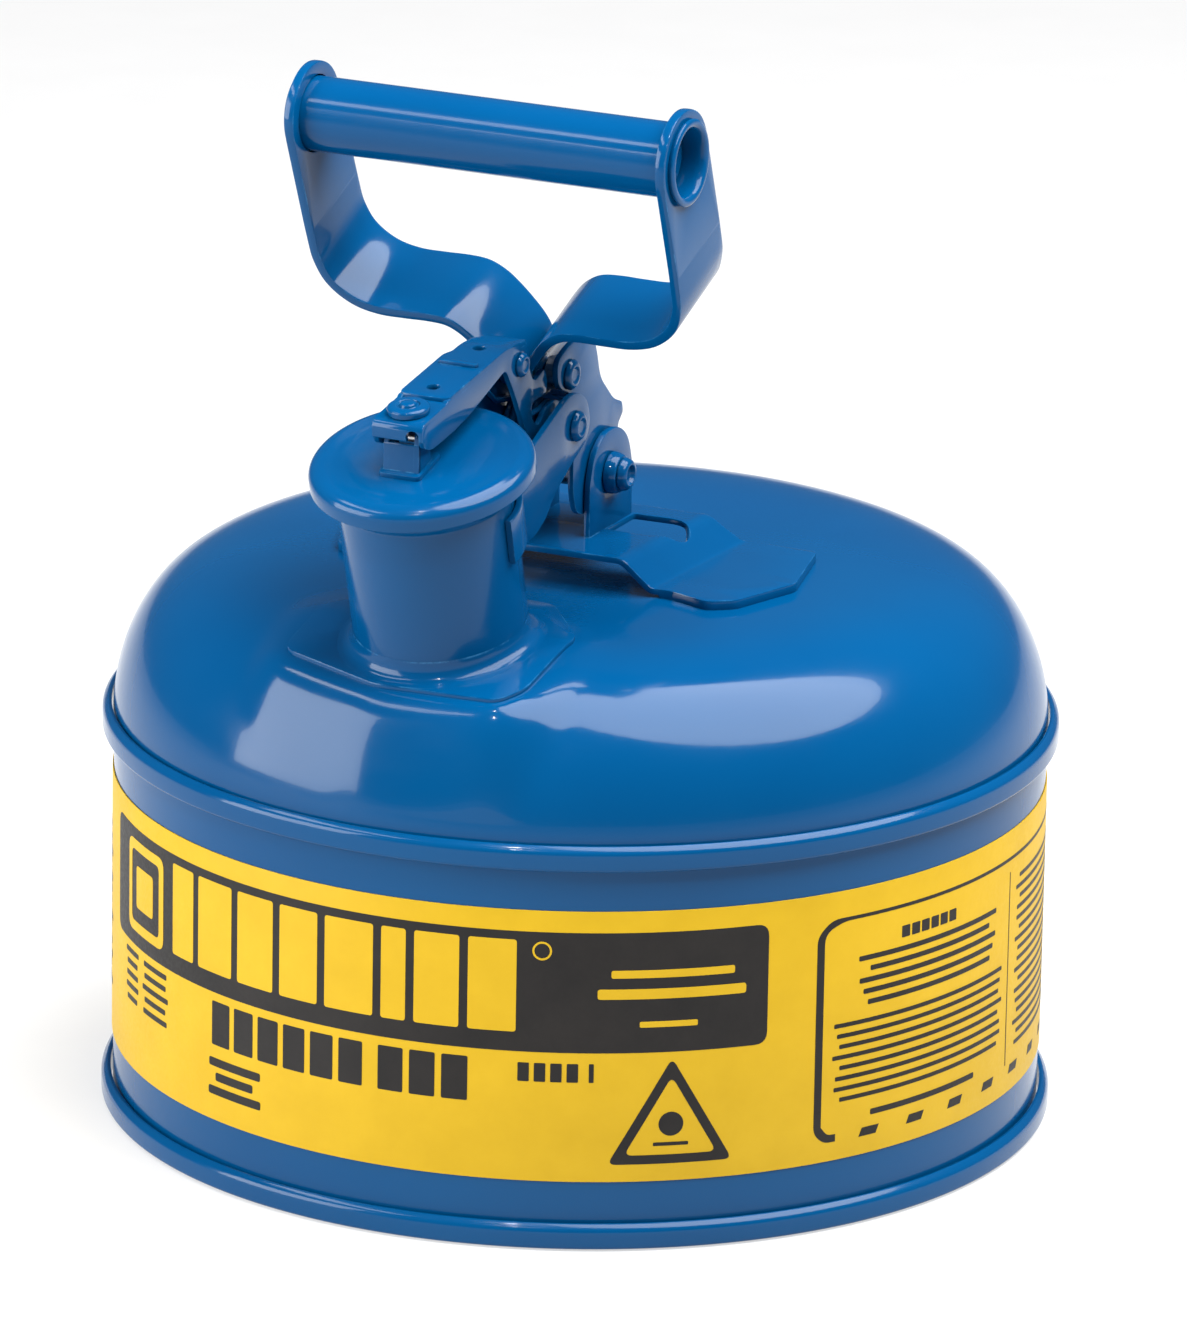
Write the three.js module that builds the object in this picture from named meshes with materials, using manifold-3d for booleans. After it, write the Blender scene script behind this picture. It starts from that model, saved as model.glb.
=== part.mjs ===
// One-gallon steel safety can: round pressed tank, tilted pouring neck, spring-closed lid
// on a lever, and a swinging loop handle that lifts the lid.
// Millimetres. +Z is up, the neck leans toward -Y, the grip runs along X.
// The origin is on the tank axis, on the floor.

import * as THREE from 'three';
import { mergeVertices } from 'three/addons/utils/BufferGeometryUtils.js';
import Module from 'manifold-3d';

const wasm = await Module();
wasm.setup();

// ---------------------------------------------------------------- driving dimensions

const SEGS = 56;              // facets round the tank
const GAP = 0.3;              // clearance between neighbouring pieces
const WALL_R = 117.7;         // outside radius of the tank wall
const WALL_T = 1.0;
const WALL_TOP = 99.6;
const SEAM_R = 120.65;        // outside radius of both rolled seams
const SEAM_H = 6.6;
const TOP_SEAM_Z = 96.9;      // underside of the upper seam
const LABEL_Z = [16.9, 86.4];
const LABEL_T = 0.25;

const DOME_R = 117.9;
const DOME_Z = 101.0;         // where the dome leaves the seam
const DOME_H = 41.7;
const DOME_T = 1.0;

const NECK_BASE = [0, -81, 142];
const NECK_TILT = THREE.MathUtils.degToRad(15);
const NECK_R = 21.6;
const NECK_T = 1.2;
const NECK_LIP = 44.6;        // lip height above the base, along the neck axis
const LID_R = 27.7;

const SHEET = 1.6;            // lever, bracket and yoke sheet
const PIVOT = [-8, 166.5];    // y, z of the handle pivot
const LEVER = [-33, 185];     // y, z of the lid-lever pivot
const LID_PIN = [-102.6, 198.5]; // y, z of the pin that carries the lid
const ARM_HALF = 6.85;        // half width of the lever channel
const YOKE_OUT = 8.8;         // outside face of the handle yoke
const EAR_OUT = 10.8;         // outside face of the base-bracket ears
const STRUT_OUT = 12.8;       // outside face of the neck-clamp arms

const GRIP = [-54.7, 261.8];  // y, z of the grip axis
const LEAN = THREE.MathUtils.degToRad(21.7);
const STRAP_HALF = 50.5;      // outside face of the handle loop
const STRAP_W = 26.4;
const STRAP_T = 2.5;
const GRIP_R = 9.3;
const CROSS_V = -70.3;        // cross rivet, measured down the handle from the grip

const BLUE = { color: 0x0062b1, roughness: 0.25, metalness: 0.1 };
const STEEL = { color: 0x8d9094, roughness: 0.4, metalness: 0.9 };
const DARK = { color: 0x2b2c2e, roughness: 0.5, metalness: 0.6 };
const RUBBER = { color: 0x1b1b1c, roughness: 0.85, metalness: 0 };
const YELLOW = { color: 0xecc62a, roughness: 0.5, metalness: 0 };

// ---------------------------------------------------------------- helpers

const part = new THREE.Group();
part.name = 'safety_gas_can';

function signedVolume(position, index) {
  const a = new THREE.Vector3();
  const b = new THREE.Vector3();
  const c = new THREE.Vector3();
  let sum = 0;
  for (let i = 0; i < index.length; i += 3) {
    a.fromBufferAttribute(position, index[i]);
    b.fromBufferAttribute(position, index[i + 1]);
    c.fromBufferAttribute(position, index[i + 2]);
    sum += a.dot(b.cross(c));
  }
  return sum;
}

// Turns a three.js geometry into a solid ready for booleans, faces outward.
function solid(geometry, matrix) {
  const bare = new THREE.BufferGeometry();
  bare.setAttribute('position', geometry.getAttribute('position').clone());
  if (geometry.index) bare.setIndex(geometry.index.clone());
  if (matrix) bare.applyMatrix4(matrix);
  const merged = mergeVertices(bare, 1e-4);
  const index = Array.from(merged.index.array);
  const position = merged.getAttribute('position');
  const kept = [];
  for (let i = 0; i < index.length; i += 3) {
    const [p, q, r] = [index[i], index[i + 1], index[i + 2]];
    if (p !== q && q !== r && r !== p) kept.push(p, q, r);
  }
  if (signedVolume(position, kept) < 0) kept.reverse();
  return new wasm.Manifold(new wasm.Mesh({
    numProp: 3,
    vertProperties: new Float32Array(position.array),
    triVerts: new Uint32Array(kept),
  }));
}

function add(name, body, finish) {
  const mesh = body.getMesh();
  const geometry = new THREE.BufferGeometry();
  geometry.setAttribute('position', new THREE.BufferAttribute(mesh.vertProperties, 3));
  geometry.setIndex(new THREE.BufferAttribute(mesh.triVerts, 1));
  geometry.computeVertexNormals();
  const node = new THREE.Mesh(geometry, new THREE.MeshStandardMaterial(finish));
  node.name = name;
  part.add(node);
}

// Profile of [radius, height] pairs turned about +Z. It starts and ends on the axis
// or is closed on itself.
function turned(profile, segments = SEGS, matrix = null) {
  const points = profile.map(([r, z]) => new THREE.Vector2(r, z));
  const upright = new THREE.Matrix4().makeRotationX(Math.PI / 2);
  if (matrix) upright.premultiply(matrix);
  return solid(new THREE.LatheGeometry(points, segments), upright);
}

function ring(rIn, rOut, z0, z1, segments = SEGS, matrix = null) {
  return turned([[rIn, z0], [rOut, z0], [rOut, z1], [rIn, z1], [rIn, z0]], segments, matrix);
}

function disc(r, z0, z1, segments = SEGS, matrix = null) {
  return turned([[0, z0], [r, z0], [r, z1], [0, z1]], segments, matrix);
}

// Polygon with rounded corners. Points are [a, b, radius].
function outline(points) {
  const shape = new THREE.Shape();
  const n = points.length;
  points.forEach(([a, b, radius = 0], i) => {
    const here = new THREE.Vector2(a, b);
    const before = new THREE.Vector2(...points[(i + n - 1) % n]);
    const after = new THREE.Vector2(...points[(i + 1) % n]);
    const inward = before.sub(here);
    const onward = after.sub(here);
    const cut = Math.min(radius, inward.length() * 0.49, onward.length() * 0.49);
    const start = here.clone().add(inward.setLength(cut));
    const end = here.clone().add(onward.setLength(cut));
    if (i === 0) shape.moveTo(start.x, start.y);
    else shape.lineTo(start.x, start.y);
    if (cut > 0) shape.quadraticCurveTo(here.x, here.y, end.x, end.y);
  });
  shape.closePath();
  return shape;
}

function extruded(shape, from, to, axes, curveSegments = 2) {
  const geometry = new THREE.ExtrudeGeometry(shape, {
    depth: to - from,
    bevelEnabled: false,
    curveSegments,
  });
  geometry.translate(0, 0, from);
  return solid(geometry, axes);
}

const Y_AXIS = new THREE.Vector3(0, 1, 0);
const Z_AXIS = new THREE.Vector3(0, 0, 1);
const X_AXIS = new THREE.Vector3(1, 0, 0);
const ALONG_X = new THREE.Matrix4().makeBasis(Y_AXIS, Z_AXIS, X_AXIS);

// Plate cut to a [y, z, radius] outline, lying between two x values.
function plateX(points, x0, x1) {
  return extruded(outline(points), x0, x1, ALONG_X);
}

// Plate cut to an [x, y, radius] outline, lying between two z values.
function plateZ(points, z0, z1) {
  return extruded(outline(points), z0, z1, null);
}

// Round bar along X. Steps are [x, radius] pairs.
function barX(steps, [y, z], segments = 16) {
  const profile = [[0, steps[0][0]], ...steps.map(([x, r]) => [r, x])];
  profile.push([0, steps[steps.length - 1][0]]);
  const turn = new THREE.Matrix4().makeRotationY(Math.PI / 2);
  turn.premultiply(new THREE.Matrix4().makeTranslation(0, y, z));
  return turned(profile, segments, turn);
}

function plainBar(r, x0, x1, centre, segments = 16) {
  return barX([[x0, r], [x1, r]], centre, segments);
}

function mirrored(body) {
  return body.mirror([1, 0, 0]);
}

function both(body) {
  return body.add(mirrored(body));
}

// ---------------------------------------------------------------- tank

function domeProfile(steps, by = 0) {
  const profile = [];
  for (let i = 0; i <= steps; i += 1) {
    const t = (i / steps) ** 1.25 * Math.PI / 2;
    const r = (DOME_R + by) * Math.cos(t) ** (2 / 8);
    profile.push([i === steps ? 0 : r, DOME_Z + by + DOME_H * Math.sin(t) ** (2 / 1.8)]);
  }
  return profile;
}

const neckFrame = new THREE.Matrix4().makeRotationX(NECK_TILT);
neckFrame.premultiply(new THREE.Matrix4().makeTranslation(...NECK_BASE));

const domeOuter = turned([[0, DOME_Z - 20], [DOME_R, DOME_Z - 20], ...domeProfile(9)]);
const domeInner = turned([[0, DOME_Z - 30], [DOME_R - DOME_T, DOME_Z - 30], ...domeProfile(7, -DOME_T)]);
const belowDome = disc(DOME_R + 10, DOME_Z - 40, DOME_Z - 1.1);
const neckBore = disc(NECK_R + GAP, -25, 40, 40, neckFrame);
add('dome_top', domeOuter.subtract(domeInner).subtract(belowDome).subtract(neckBore), BLUE);

add('body_shell', ring(WALL_R - WALL_T, WALL_R, 1, WALL_TOP), BLUE);

function rolledSeam(z) {
  const inner = DOME_R + 0.45;
  const profile = [
    [inner, z],
    [SEAM_R - 1.1, z],
    [SEAM_R, z + 1.6],
    [SEAM_R, z + SEAM_H - 1.6],
    [SEAM_R - 1.1, z + SEAM_H],
    [inner, z + SEAM_H],
    [inner, z],
  ];
  return turned(profile);
}
add('bottom_seam', rolledSeam(0), BLUE);
add('top_seam', rolledSeam(TOP_SEAM_Z), BLUE);

const PAN_R = WALL_R - WALL_T - GAP;
add('base_pan', turned([
  [0, 3.4], [104, 3.4], [107, 1.4], [PAN_R, 1.4], [PAN_R, 2.4],
  [107.4, 2.4], [104.4, 4.4], [0, 4.4],
]), BLUE);

add('label_band', ring(WALL_R + 0.06, WALL_R + 0.06 + LABEL_T, ...LABEL_Z), YELLOW);

// ---------------------------------------------------------------- neck and flame arrester

add('spout_neck', turned([
  [NECK_R - NECK_T, -7], [NECK_R, -7], [NECK_R, NECK_LIP - 3.2], [NECK_R + 0.9, NECK_LIP - 2.4],
  [NECK_R + 1.1, NECK_LIP - 1.2], [NECK_R + 0.7, NECK_LIP - 0.2], [NECK_R, NECK_LIP],
  [NECK_R - NECK_T, NECK_LIP - 0.9], [NECK_R - NECK_T, -7],
], 40, neckFrame), BLUE);

// Clipped-corner flange with a filleted collar, its underside fitted to the dome.
const FLANGE_TOP = 0.6;
const flangePlan = [
  [-6, -26.4, 3], [26.5, -25, 3], [31, -18, 3], [32, 10, 4],
  [16, 31, 4], [-20, 31, 4], [-35.5, 9, 4], [-35.5, -16.5, 4],
];
const flangePrism = extruded(outline(flangePlan), FLANGE_TOP - 22, FLANGE_TOP, neckFrame);
const flangeLevel = disc(200, 60, DOME_Z + DOME_H + 1.3, 8);
const collar = turned([
  [0, -6], [NECK_R + 2.6, -6], [NECK_R + 2.6, FLANGE_TOP], [NECK_R + 1.2, FLANGE_TOP + 0.9],
  [NECK_R + 0.7, FLANGE_TOP + 2.4], [0, FLANGE_TOP + 2.4],
], 40, neckFrame);
const domeCutter = turned([[0, 60], [DOME_R + 0.15, 60], ...domeProfile(9, 0.15)]);
const flange = flangePrism.intersect(flangeLevel).add(collar).subtract(domeCutter);
add('spout_flange', flange.subtract(disc(NECK_R + 0.15, -40, 40, 40, neckFrame)), BLUE);

const ARRESTER_R = NECK_R - NECK_T - 0.2;
add('arrester_collar', turned([
  [ARRESTER_R - 2.6, 30], [ARRESTER_R, 30], [ARRESTER_R, 40], [ARRESTER_R - 2.6, 40],
  [ARRESTER_R - 2.6, 30],
], 36, neckFrame), STEEL);
const SCREEN_R = ARRESTER_R - 2.9;
add('flame_arrester_screen', turned([
  [0, -62], [SCREEN_R - 1.5, -62], [SCREEN_R, -60.5], [SCREEN_R, 39.5], [SCREEN_R - 0.6, 39.5],
  [SCREEN_R - 0.6, -60], [SCREEN_R - 2, -61.3], [0, -61.3],
], 36, neckFrame), STEEL);

// ---------------------------------------------------------------- neck clamp with lever arms

const CLAMP_R = NECK_R + 0.25;
const clampZ = [25, 37];
const clampRing = ring(CLAMP_R, CLAMP_R + SHEET, ...clampZ, 40, neckFrame);
const frontHalf = new THREE.BoxGeometry(80, 60, 60);
const clampCut = solid(frontHalf, new THREE.Matrix4().makeTranslation(0, -30 - 1.5, 30).premultiply(neckFrame));
const strutPlan = [
  [-70, 180.5], [-63, 184.3, 2], [-58.5, 185.4, 2], [-39.6, 192.9, 3], [-33, 194, 5], [-26.5, 190.5, 5],
  [-24.6, 184, 4], [-27, 179.5, 4], [-34.7, 175.9, 3], [-44.4, 170.6, 3], [-49.5, 165.4, 2],
  [-55, 162.8, 2], [-70, 159.5],
];
const strut = plateX(strutPlan, STRUT_OUT - SHEET, STRUT_OUT);
const leverHole = plainBar(2.8, -30, 30, LEVER);
const neckVoid = disc(CLAMP_R, -40, 60, 40, neckFrame);
const clamp = clampRing.subtract(clampCut).add(both(strut)).subtract(leverHole).subtract(neckVoid);
add('neck_clamp', clamp, BLUE);

// Headed rivet along X, through plates whose outside faces are half apart.
function rivet(half, shank, head, height, centre) {
  const seat = half + 0.25;
  return barX([
    [-seat - height, head * 0.55], [-seat - height * 0.6, head * 0.92], [-seat, head], [-seat, shank],
    [seat, shank], [seat, head], [seat + height * 0.6, head * 0.92], [seat + height, head * 0.55],
  ], centre, 16);
}
add('lever_pivot_pin', rivet(STRUT_OUT, 2.5, 3.9, 1.6, LEVER), BLUE);

// Close-wound end turns of the lever spring, between yoke and clamp arms.
const turns = [[3.2, 9.1]];
for (let i = 0; i < 3; i += 1) {
  turns.push([5.7, 9.1 + 0.65 * i], [6, 9.42 + 0.65 * i], [5.7, 9.74 + 0.65 * i]);
}
turns.push([3.2, 11.04], [3.2, 9.1]);
const leverTurn = new THREE.Matrix4().makeRotationY(Math.PI / 2);
leverTurn.premultiply(new THREE.Matrix4().makeTranslation(0, ...LEVER));
const coilRight = turned(turns, 20, leverTurn);
add('lever_coil_right', coilRight, DARK);
add('lever_coil_left', mirrored(coilRight), DARK);

// ---------------------------------------------------------------- base bracket and main pin

const DECK_Z = 152.5;
const FOOT_Z = 144.6;
const BEND_X = 26.2;
const FOOT_X = 33.4;
const BEND_SKEW = 0.06;         // bends lean outwards by this much per mm towards the back
const bracketEdge = [
  [-16, DECK_Z], [BEND_X, DECK_Z, 2], [FOOT_X, FOOT_Z, 1.5], [75, FOOT_Z], [75, FOOT_Z - SHEET],
  [FOOT_X - 0.8, FOOT_Z - SHEET, 1.5], [BEND_X - 0.8, DECK_Z - SHEET, 1.5], [-16, DECK_Z - SHEET],
];
const alongBend = new THREE.Matrix4().makeBasis(X_AXIS, Z_AXIS, Y_AXIS.clone().negate());
alongBend.premultiply(new THREE.Matrix4().makeShear(0, 0, BEND_SKEW, 0, 0, 0));
alongBend.premultiply(new THREE.Matrix4().makeTranslation(BEND_SKEW * 20, 0, 0));
const rightOfMiddle = solid(new THREE.BoxGeometry(100, 100, 100), new THREE.Matrix4().makeTranslation(49.5, 0, 145));
const bracketRun = both(extruded(outline(bracketEdge), -45, 45, alongBend).intersect(rightOfMiddle));
const bracketPlan = [
  [-24, -32.5, 2], [24, -32.5, 3], [36, -28.5, 3], [49, -33, 2], [55, -28.5, 2], [62, -8, 2], [55.5, 19.5, 2],
  [36, 20, 3], [27, 13, 4], [-27, 13, 4], [-36, 20, 3], [-55.5, 19.5, 2], [-62, -8, 2],
  [-55, -28.5, 2], [-49, -33, 2], [-36, -28.5, 3],
];
const slotPlan = [
  [EAR_OUT + 0.02, -10.5, 1], [25, -10.8, 6], [29.5, -3, 6], [25.5, 5.5, 6], [EAR_OUT + 0.02, 5, 1],
];
const earPlan = [
  [-20, DECK_Z - 1], [5, DECK_Z - 1], [5, 166, 2], [2.5, 173.5, 6], [-3.5, 177.6, 5], [-11.5, 177.6, 5],
  [-17.5, 173.5, 6], [-20, 166, 2],
];
const deck = bracketRun.intersect(plateZ(bracketPlan, 130, 170)).subtract(both(plateZ(slotPlan, 130, 170)));
const ear = plateX(earPlan, EAR_OUT - SHEET, EAR_OUT);
const bracket = deck.add(both(ear)).subtract(plainBar(3.3, -30, 30, PIVOT));
add('base_bracket', bracket.subtract(domeCutter), BLUE);

add('main_pivot_pin', barX([
  [-16.6, 3.2], [-16.2, 4.1], [-14.6, 4.3], [-14.4, 3], [14.4, 3], [14.6, 4.3], [16.2, 4.1], [16.6, 3.2],
], PIVOT), BLUE);
const pinCollar = barX([[EAR_OUT + 0.2, 4.9], [13.4, 4.6], [14.1, 4.1]], PIVOT).subtract(plainBar(3.2, 0, 30, PIVOT));
add('pin_collar_right', pinCollar, BLUE);
add('pin_collar_left', mirrored(pinCollar), BLUE);

// ---------------------------------------------------------------- handle

// Handle coordinates: u along the grip, v up the handle, w across the strap.
const V_DIR = new THREE.Vector3(0, -Math.sin(LEAN), Math.cos(LEAN));
const W_DIR = new THREE.Vector3(0, Math.cos(LEAN), Math.sin(LEAN));
const handleFrame = new THREE.Matrix4().makeBasis(X_AXIS, V_DIR, W_DIR.clone().negate());
handleFrame.premultiply(new THREE.Matrix4().makeTranslation(0, ...GRIP));

function handlePoint(v, w) {
  return [GRIP[0] + v * V_DIR.y + w * W_DIR.y, GRIP[1] + v * V_DIR.z + w * W_DIR.z];
}

// Centre line of one strap in [u, v]: straight side, wide bend, level run, hump, tail.
const strapLine = new THREE.CatmullRomCurve3([
  [49.9, 14], [49.7, -10], [49.2, -30], [48.7, -35.5], [46.3, -41.6], [41, -46.3], [34.5, -48.3], [27, -48.5],
  [20.5, -48.4], [15.5, -49], [11.6, -51.3], [8.4, -54.8], [5.4, -59], [3.2, -62.8], [2, -66.5], [1.7, -71],
  [1.7, -75.6],
].map(([u, v]) => new THREE.Vector3(u, v, 0)), false, 'centripetal');

function strapShape() {
  const steps = 24;
  const near = [];
  const far = [];
  for (let i = 0; i <= steps; i += 1) {
    const at = strapLine.getPoint(i / steps);
    const dir = strapLine.getTangent(i / steps);
    near.push(new THREE.Vector2(at.x - dir.y * STRAP_T / 2, at.y + dir.x * STRAP_T / 2));
    far.unshift(new THREE.Vector2(at.x + dir.y * STRAP_T / 2, at.y - dir.x * STRAP_T / 2));
  }
  return new THREE.Shape([...near, ...far]);
}

const crossRivet = handlePoint(CROSS_V, 0.2);
const strapBlank = extruded(strapShape(), -STRAP_W / 2, STRAP_W / 2, handleFrame);

// Rounded top: everything above the grip axis is trimmed to an arc round the tube hole.
const topRound = [];
const ARC_STEPS = 10;
for (let i = 0; i <= ARC_STEPS; i += 1) {
  const angle = Math.PI * i / ARC_STEPS;
  topRound.push(handlePoint(13 * Math.sin(angle), -STRAP_W / 2 * Math.cos(angle)));
}
topRound.push(handlePoint(-100, STRAP_W / 2 + 1), handlePoint(-100, -STRAP_W / 2 - 1));
const strapTrim = plateX(topRound, -60, 60);
const springRoom = plainBar(6.6, -20, 20, LEVER, 24);
const strap = strapBlank
  .intersect(strapTrim)
  .subtract(plainBar(GRIP_R + GAP, 30, 60, GRIP, 28))
  .subtract(plainBar(2.8, -20, 20, crossRivet))
  .subtract(springRoom);
add('handle_strap_right', strap, BLUE);
add('handle_strap_left', mirrored(strap), BLUE);

// Grip tube, its ends rolled over the straps.
const OUT = STRAP_HALF + 0.85;
const tubeHalf = [
  [GRIP_R - 1.2, 0], [GRIP_R, 0], [GRIP_R, OUT], [GRIP_R + 1.3, OUT], [GRIP_R + 1.5, OUT + 0.6],
  [GRIP_R + 0.6, OUT + 1.2], [GRIP_R - 0.7, OUT + 0.8], [GRIP_R - 1.2, OUT - 0.4],
];
const tubeProfile = [
  ...tubeHalf.slice(2),
  ...tubeHalf.slice(2).reverse().map(([r, x]) => [r, -x]),
];
tubeProfile.push(tubeProfile[0]);
const tubeTurn = new THREE.Matrix4().makeRotationY(Math.PI / 2);
tubeTurn.premultiply(new THREE.Matrix4().makeTranslation(0, ...GRIP));
add('grip_tube', turned(tubeProfile, 24, tubeTurn), BLUE);

const plug = barX([
  [44.6, GRIP_R - 1.5], [46.2, GRIP_R - 1.5], [46.2, 3.2], [45.4, 1.4],
], GRIP, 24);
add('grip_plug_right', plug, BLUE);
add('grip_plug_left', mirrored(plug), BLUE);

// Yoke: two side plates joined by a rear web, pivoting on the main pin.
const yokePlan = [
  [-36, 201.5, 3], [-35.2, 194.6, 3], [-28, 191.4, 2], [-25.7, 187, 3], [-25.7, 166, 3], [-23.5, 158.8, 4],
  [-8, 156.8, 9], [3, 161, 9], [3.4, 170, 5], [-0.2, 176.2, 2], [3.3, 179.2, 1], [2.6, 182, 1],
  [-2.5, 184, 2], [-10.6, 191.5, 3], [-12.4, 197.8, 2], [-15.5, 205, 3], [-28, 204.6, 4],
];
const yokeCheek = plateX(yokePlan, YOKE_OUT - SHEET, YOKE_OUT);
const webPlan = [
  [-12, 193.8, 1], [-11.1, 191.4, 2], [-3, 183.9, 2], [2.6, 181.9, 1], [3.2, 179.6, 0.6],
  [1.6, 179.9, 0.6], [1.2, 180.8, 0.6], [-4, 182.6, 2], [-12.3, 190.2, 2], [-13.5, 193.4, 1],
];
const yokeWeb = plateX(webPlan, -YOKE_OUT + 0.2, YOKE_OUT - 0.2);
const yoke = both(yokeCheek).add(yokeWeb)
  .subtract(plainBar(3.3, -30, 30, PIVOT))
  .subtract(plainBar(2.8, -30, 30, crossRivet));
add('handle_yoke', yoke, BLUE);

add('handle_cross_rivet', rivet(YOKE_OUT, 2.5, 3.9, 1.5, crossRivet), BLUE);
const spacer = plainBar(4.2, 3.6, 6.9, crossRivet).subtract(plainBar(2.8, 0, 20, crossRivet));
add('yoke_spacer_right', spacer, STEEL);
add('yoke_spacer_left', mirrored(spacer), STEEL);
const bushing = plainBar(4.6, -6.9, 6.9, PIVOT).subtract(plainBar(3.3, -20, 20, PIVOT));
add('pivot_bushing', bushing, STEEL);

// ---------------------------------------------------------------- lid lever

const T = 1.5;
const armTop = [
  [-107.4, 202.8, 5.4], [-94.4, 204.9, 1], [-93.4, 206.1, 0.6], [-61.2, 210.7, 3], [-49.6, 210.5, 1],
  [-49.6, 210.5 - T], [-61.2, 210.7 - T, 3], [-93, 206.2 - T, 1], [-94.4, 204.9 - T, 1],
  [-105.9, 203 - T, 3.9], [-105.9, 198.2], [-107.4, 198.2],
];
const armSide = [
  [-106.4, 202.6, 4.6], [-94.4, 204.8], [-93.4, 206], [-61.2, 210.6], [-49.4, 210.4, 2], [-47.6, 202.6, 1], [-45, 198.4, 2], [-38.8, 200.6, 1.5],
  [-37.4, 197, 1], [-37.2, 194, 2], [-46.4, 193.2, 3], [-45.6, 188.6, 2], [-42, 186.4, 2], [-38.4, 189.6, 2],
  [-33, 191.2, 4], [-27.4, 189.4, 4], [-26.9, 184.6, 4], [-28.4, 179.6, 4], [-33.4, 178.7, 4],
  [-41, 179, 4], [-47.5, 183.6, 2], [-55.8, 197.8, 2], [-61.3, 205.4, 2], [-71.6, 202, 4],
  [-79, 199.5, 3], [-89, 197.2], [-97.6, 195.9, 2], [-102, 195.4, 2], [-106, 196.6, 2], [-106.3, 199, 1],
];
const cheekRivet = [-53, 204.8];
const arm = plateX(armTop, -ARM_HALF, ARM_HALF)
  .add(both(plateX(armSide, ARM_HALF - T, ARM_HALF)))
  .subtract(plainBar(2.8, -30, 30, LEVER))
  .subtract(plainBar(2.3, -30, 30, cheekRivet))
  .subtract(plainBar(1.7, -30, 30, LID_PIN));
const bore = (r, x, y) => disc(r, 190, 220, 12, new THREE.Matrix4().makeTranslation(x, y, 0));
// The left edge steps in twice towards the pivot; the front lip has one round notch.
const edgeStep = (x, y) => plateX([[y, 208.1], [y, 214], [-40, 214], [-40, 208.1]], -9, x);
const notchTurn = new THREE.Matrix4().makeRotationX(Math.PI / 2);
notchTurn.premultiply(new THREE.Matrix4().makeTranslation(4.1, 0, 199.2));
const trimmedArm = arm
  .subtract(bore(1.6, 0, -87.6))
  .subtract(bore(1.6, 0, -62.2))
  .subtract(edgeStep(-5.6, -66.8))
  .subtract(edgeStep(-4.3, -53.4))
  .subtract(disc(1.9, 105.5, 110, 14, notchTurn));
add('lid_lever_arm', trimmedArm, BLUE);

const washerFrame = new THREE.Matrix4().makeRotationX(THREE.MathUtils.degToRad(9.1));
washerFrame.premultiply(new THREE.Matrix4().makeTranslation(0, -101.2, 204.05));
add('arm_washer', turned([
  [0, 0], [4.9, 0], [5.3, 0.8], [4.9, 1.4], [2, 1.5], [1.6, 2.2], [0, 2.3],
], 20, washerFrame), BLUE);

add('cheek_rivet', rivet(ARM_HALF, 2, 3.1, 1.4, cheekRivet), BLUE);

// Torsion spring: one coil pack round the lever pin with two short legs.
const WIRE = 0.75;
const COIL_R = 4.2;
const TURNS = 5;
const springPath = [new THREE.Vector3(-4.4, -54, 200)];
const coilSteps = TURNS * 10;
for (let i = 0; i <= coilSteps; i += 1) {
  const angle = Math.PI / 2 - 2 * Math.PI * i / 10;
  const x = -4.2 + 8.4 * i / coilSteps;
  springPath.push(new THREE.Vector3(x, LEVER[0] - COIL_R * Math.cos(angle), LEVER[1] + COIL_R * Math.sin(angle)));
}
springPath.push(new THREE.Vector3(4.4, -45, 189));
const springCurve = new THREE.CatmullRomCurve3(springPath, false, 'centripetal');
const wireShape = new THREE.Shape();
wireShape.absarc(0, 0, WIRE, 0, 2 * Math.PI);
add('torsion_spring', solid(new THREE.ExtrudeGeometry(wireShape, {
  steps: 70,
  curveSegments: 2,
  extrudePath: springCurve,
})), DARK);

// ---------------------------------------------------------------- lid

add('lid_cap', turned([
  [0, 49.4], [26.2, 49.4], [26.6, 49], [26.6, 45.4], [27.4, 45.4], [LID_R, 46.2], [LID_R, 48.8],
  [LID_R - 0.5, 50], [LID_R - 1.8, 50.8], [LID_R - 3.4, 51.1], [0, 51.3],
], 44, neckFrame), BLUE);
add('lid_gasket', ring(17.2, 26.2, NECK_LIP + 0.35, 49.1, 32, neckFrame), RUBBER);
add('gasket_retainer', turned([
  [0, 46.4], [15.2, 46.4], [16.8, 47.4], [16.8, 49.1], [0, 49.1],
], 30, neckFrame), STEEL);

// Clevis on the lid: a small base with two lugs carrying the lid pin.
const clevisBase = solid(
  new THREE.BoxGeometry(11, 13, 1.2),
  new THREE.Matrix4().makeTranslation(0, -6, 52.1).premultiply(neckFrame),
);
const lugPlan = [
  [-105, 184], [-105, 199.4, 1.4], [-103.6, 200.8, 1], [-101.5, 200.8, 1], [-99.8, 198.6, 1.5],
  [-98, 192], [-98, 186],
];
const lug = plateX(lugPlan, 3.4, 4.8);
const lugWeb = plateX([[-105, 184], [-105, 196.2], [-103.8, 196.2], [-103.8, 184]], -4, 4);
const lidTop = disc(40, 40, 51.6, 32, neckFrame);
const clevis = clevisBase.add(both(lug).add(lugWeb).subtract(lidTop)).subtract(plainBar(1.7, -20, 20, LID_PIN));
add('lid_clevis', clevis, BLUE);
add('lid_pin', barX([[-6.8, 1.1], [-6.5, 1.4], [6.5, 1.4], [6.8, 1.1]], LID_PIN, 14), STEEL);

export default part;
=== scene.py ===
import math

import bmesh
import bpy
from mathutils import Matrix, Vector


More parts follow.
